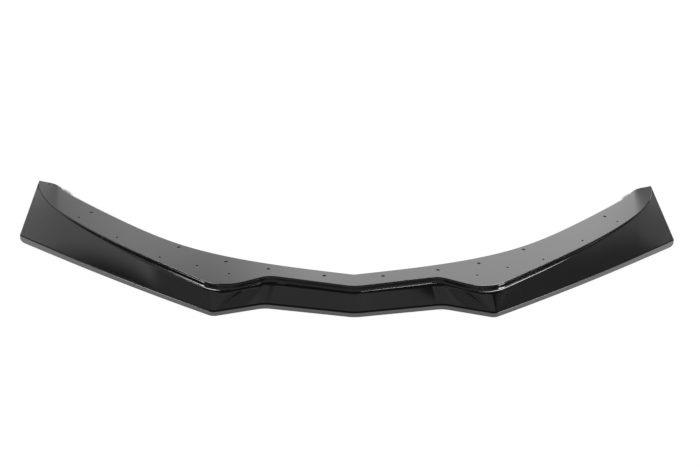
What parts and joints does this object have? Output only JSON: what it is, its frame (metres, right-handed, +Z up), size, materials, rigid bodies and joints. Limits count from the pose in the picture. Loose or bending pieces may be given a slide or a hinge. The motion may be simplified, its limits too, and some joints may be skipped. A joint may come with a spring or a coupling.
{
  "type": "front splitter lip",
  "caption": "Wide swept one-piece car splitter lip: flat drilled mounting flange, stepped front face, turned-down rim, twisted end blades.",
  "frame": {"origin": "on the floor under the middle of the bounding box", "axes": "+X to the car's side along the lip's width, -Y forwards, +Z up"},
  "size_m": [1.843, 0.6526, 0.06],
  "materials": {
    "gloss_black": "high gloss black, moulded"
  },
  "bodies": {
    "root": {"splitter_lip": "gloss_black"}
  },
  "joints": []
}
